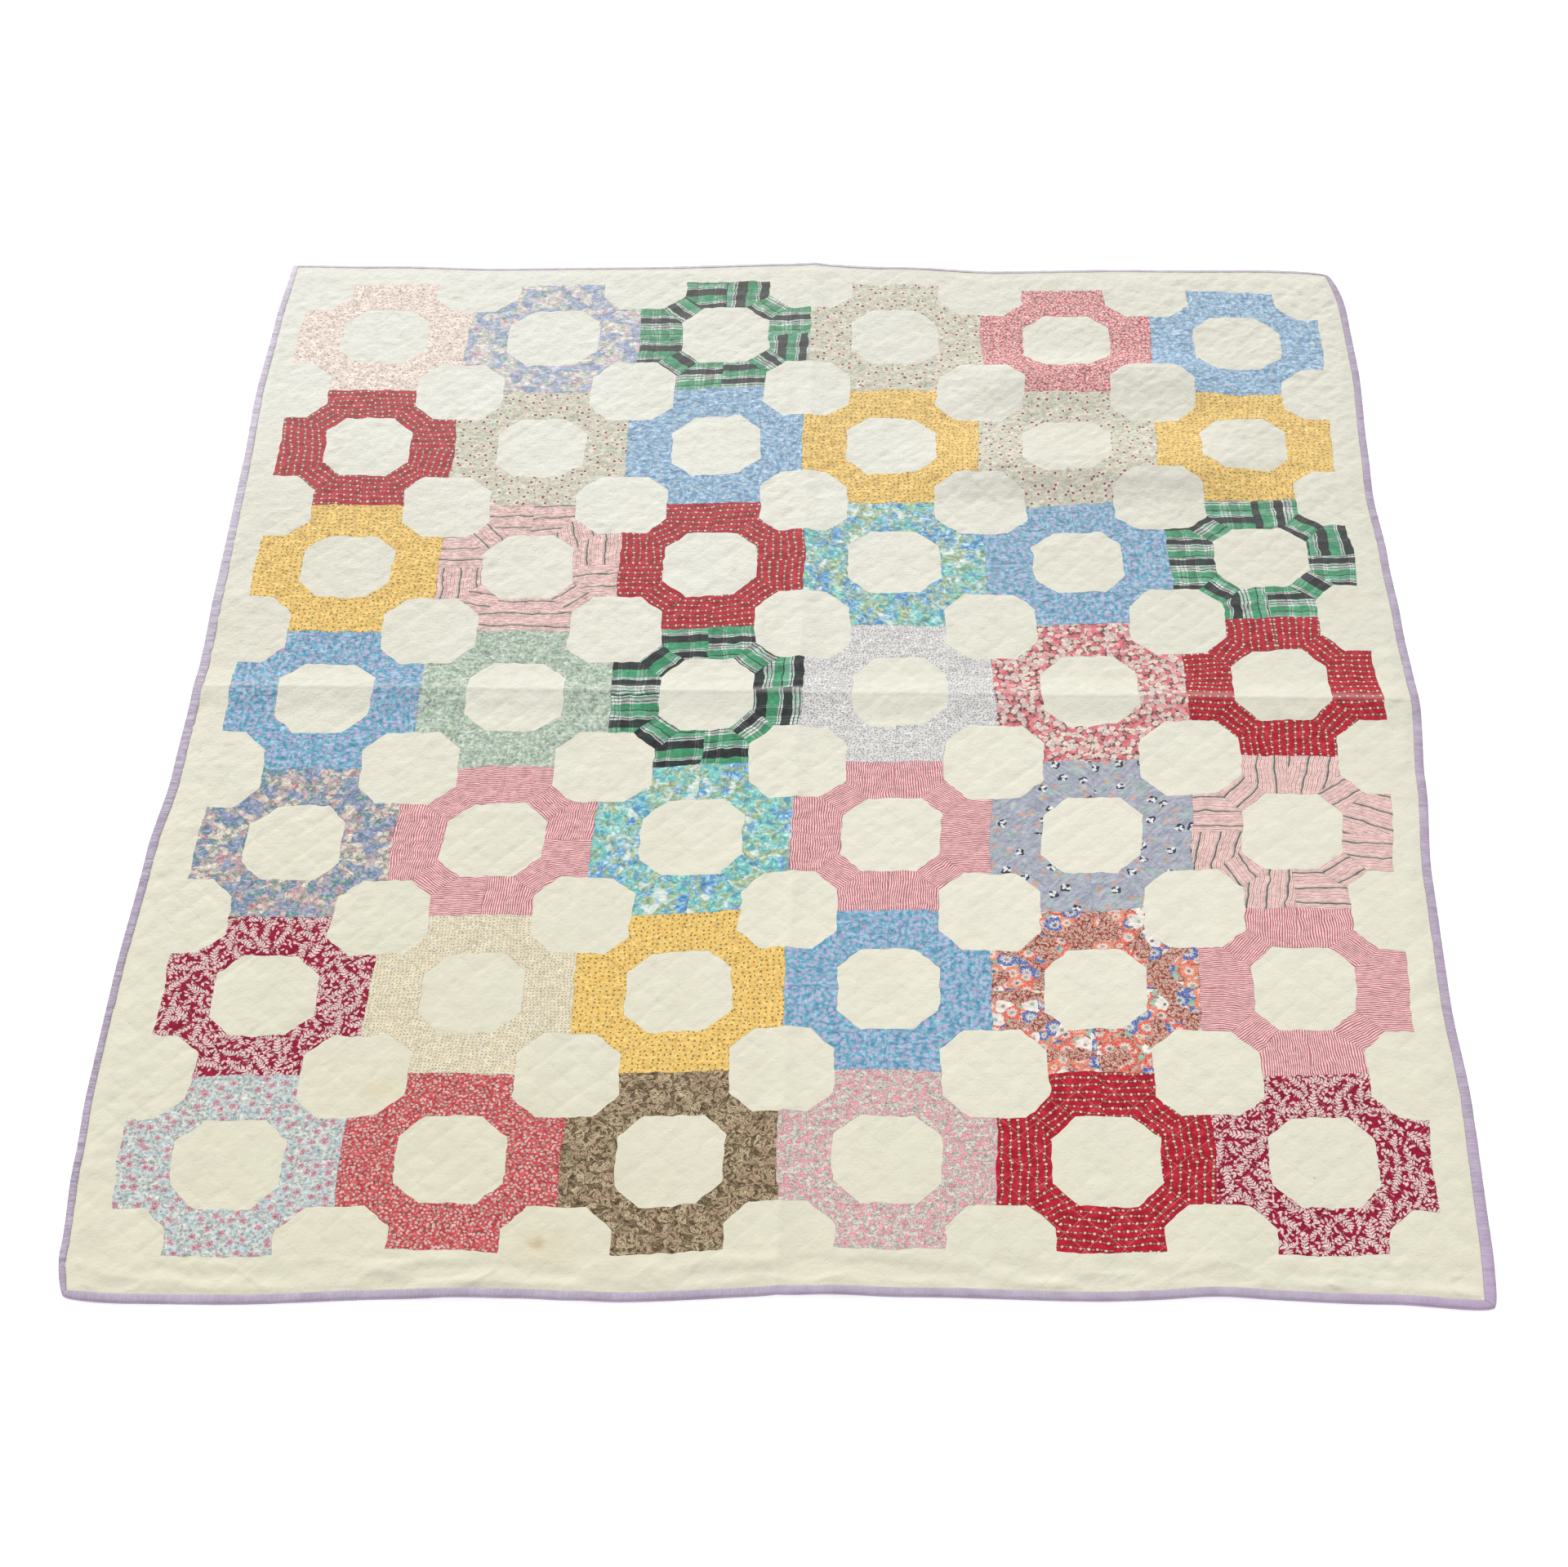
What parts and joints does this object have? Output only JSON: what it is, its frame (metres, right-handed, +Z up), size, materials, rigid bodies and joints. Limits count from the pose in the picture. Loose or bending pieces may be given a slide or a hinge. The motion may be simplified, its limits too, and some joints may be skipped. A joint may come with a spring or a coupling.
{
  "type": "patchwork quilt",
  "caption": "Hand-quilted patchwork bed quilt: print rings of bow-tie blocks on a cream ground, spread out flat, with a narrow folded binding.",
  "frame": {"origin": "centre of the bounding box on the surface that the quilt lies on", "axes": "+X across the quilt to the right as seen from its near side, +Y along its length to the far side, +Z up"},
  "size_m": [1.9759, 2.2914, 0.025],
  "materials": {
    "quilted_cotton": "matt washed cotton",
    "lavender_cotton": "matt washed cotton"
  },
  "bodies": {
    "root": {"quilt_body": "quilted_cotton", "binding_left": "lavender_cotton", "binding_right": "lavender_cotton", "binding_near": "lavender_cotton", "binding_far": "lavender_cotton"}
  },
  "joints": []
}
